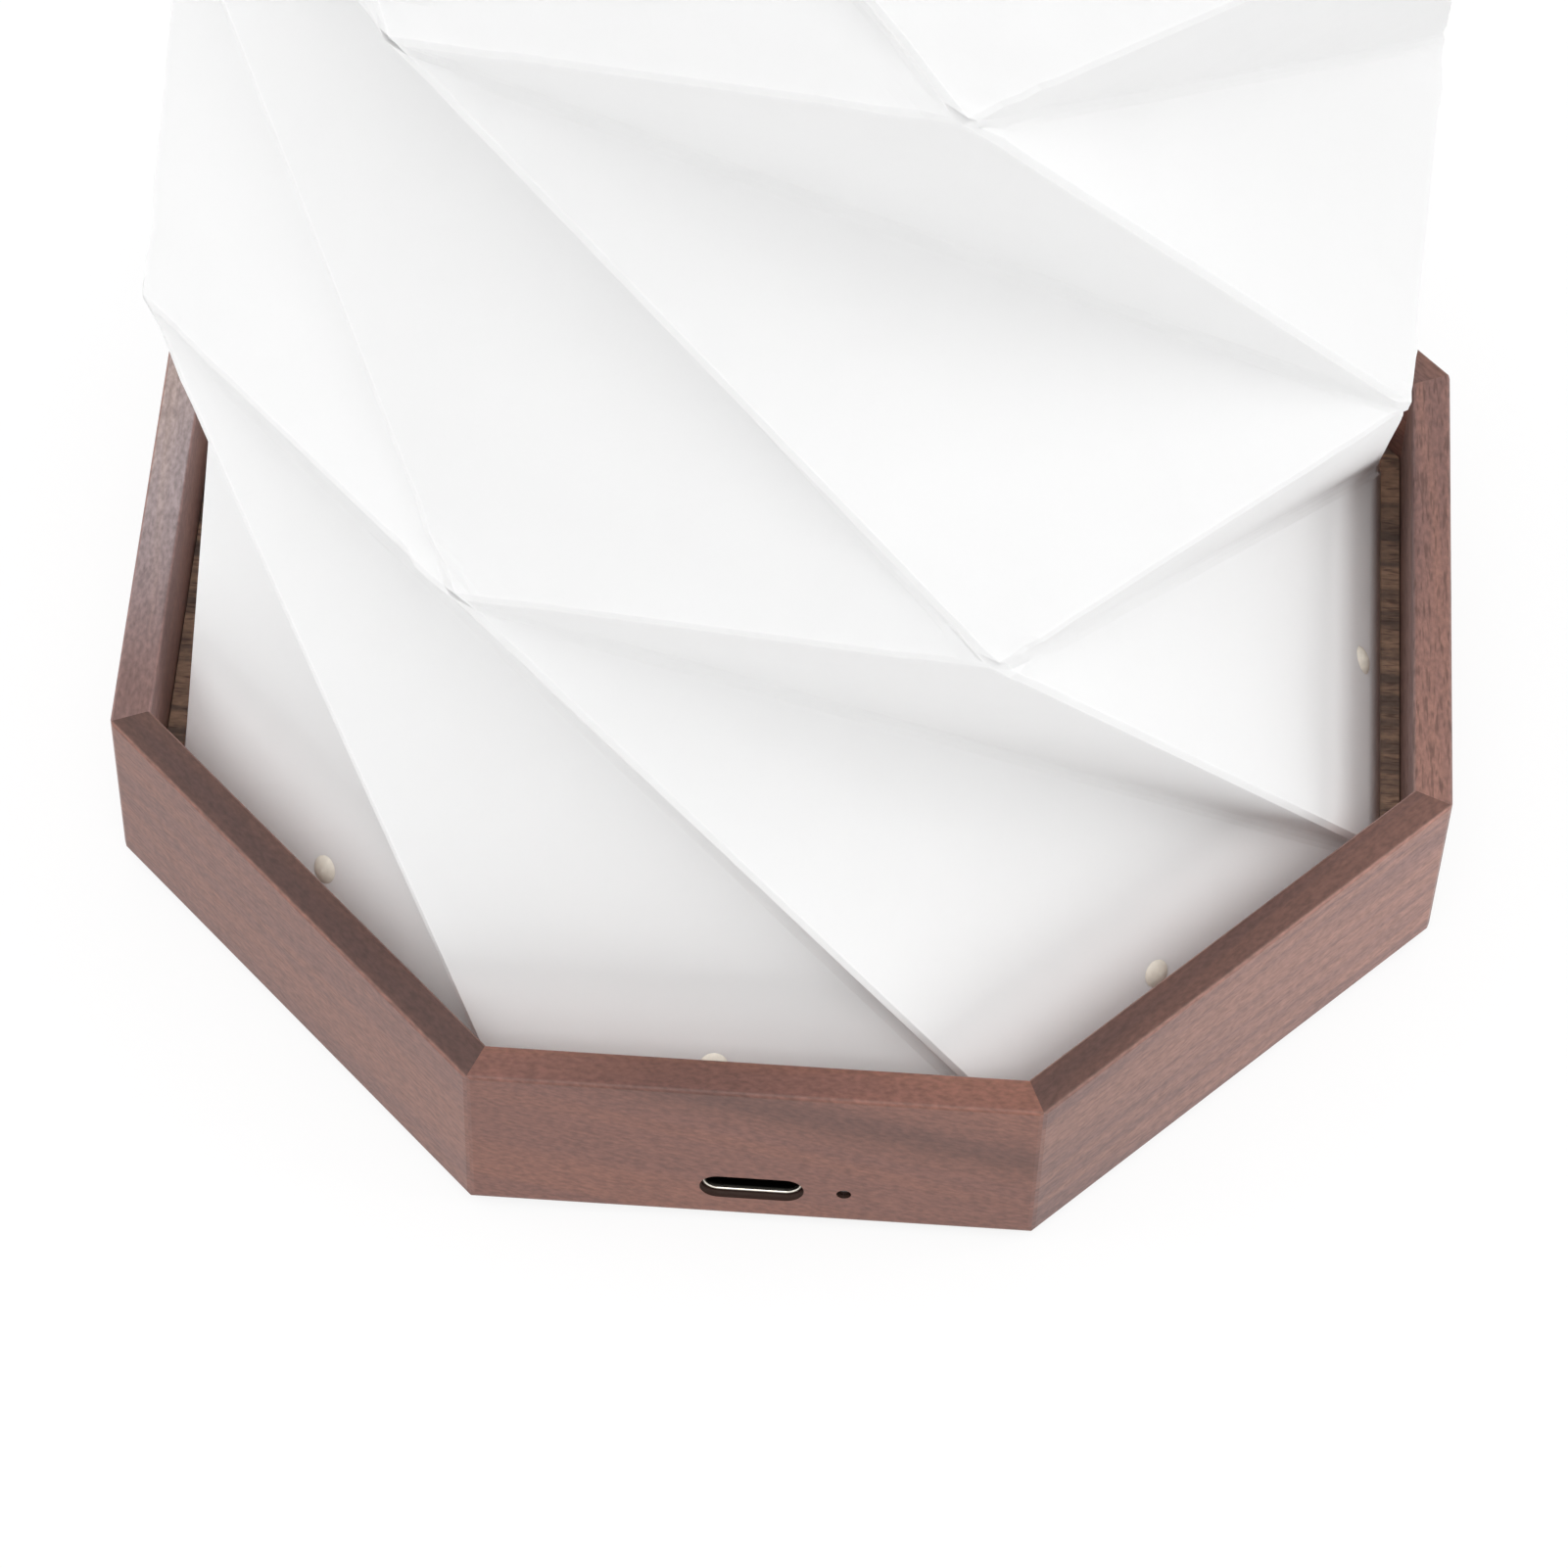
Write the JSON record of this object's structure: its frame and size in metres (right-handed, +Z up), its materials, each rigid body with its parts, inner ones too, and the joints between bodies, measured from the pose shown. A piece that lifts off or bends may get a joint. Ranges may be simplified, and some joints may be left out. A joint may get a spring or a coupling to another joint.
{
  "type": "bedside table lamp",
  "caption": "Folding bedside lamp: a white folded-paper shade between a mitred walnut tray base with a charging port and a matching lid that pushes down and turns shut.",
  "frame": {"origin": "centre of the anti-slip pad's underside, on the table", "axes": "+Z up along the lamp's axis, -Y to the front rail with the charging port, +X to the right of it"},
  "size_m": [0.1292, 0.1292, 0.273],
  "materials": {
    "walnut": "satin oiled walnut, grain along each rail",
    "walnut_floor": "unpolished walnut, close dark grain lines",
    "paper": "matt white fibre paper",
    "dark_cover": "matt black",
    "pad_rubber": "matt black rubber",
    "screw_steel": "zinc plated",
    "circuit_board": "green solder mask",
    "chip_black": "moulded black",
    "port_steel": "drawn stainless steel",
    "clear_plastic": "clear",
    "indicator": "milky lens",
    "cell_foil": "foil pouch",
    "nickel": "nickel plated",
    "brass": "gold flashed",
    "white_board": "white solder mask on aluminium",
    "phosphor": "phosphor gel",
    "frosted": "frosted white",
    "ring_white": "matt white",
    "ivory": "satin ivory"
  },
  "bodies": {
    "base": {"base_rail_right": "walnut", "base_rail_back_right": "walnut", "base_rail_back": "walnut", "base_rail_back_left": "walnut", "base_rail_left": "walnut", "base_rail_front_left": "walnut", "base_rail_front": "walnut", "base_rail_front_right": "walnut", "base_floor": "walnut_floor", "base_bottom_cover": "dark_cover", "anti_slip_pad": "pad_rubber", "bottom_cover_screws": "screw_steel", "charge_board_screws": "screw_steel", "led_board_screws": "screw_steel", "base_shade_ring_screws": "screw_steel", "charge_board": "circuit_board", "charge_board_chips": "chip_black", "lid_sensor": "chip_black", "usb_c_tongue": "chip_black", "usb_c_shell": "port_steel", "charge_light_pipe": "clear_plastic", "charge_indicator": "indicator", "battery_cell": "cell_foil", "battery_tabs": "nickel", "led_power_pins": "brass", "led_board": "white_board", "led_chips": "phosphor", "led_diffuser": "frosted", "base_shade_ring": "ring_white", "base_rivets": "ivory"},
    "shade": {"paper_shade": "paper"},
    "lid": {"lid_rail_right": "walnut", "lid_rail_back_right": "walnut", "lid_rail_back": "walnut", "lid_rail_back_left": "walnut", "lid_rail_left": "walnut", "lid_rail_front_left": "walnut", "lid_rail_front": "walnut", "lid_rail_front_right": "walnut", "lid_panel": "walnut", "lid_shade_ring": "ring_white", "lid_shade_ring_screws": "screw_steel", "lid_rivets": "ivory", "trigger_magnet": "nickel"}
  },
  "joints": [
    {"name": "lid_lift", "type": "slide", "parent": "base", "child": "shade", "axis": [0, 0, 1], "range_m": [-0.2367, 0], "deforming": ["paper_shade"]},
    {"name": "lid_turn", "type": "hinge", "parent": "shade", "child": "lid", "pos_m": [0, 0, 0.269], "axis": [0, 0, 1], "range_deg": [-162, 0]}
  ],
  "couplings": [
    {"joint": "lid_turn", "follows": "lid_lift", "rad_per_m": 11.945}
  ]
}
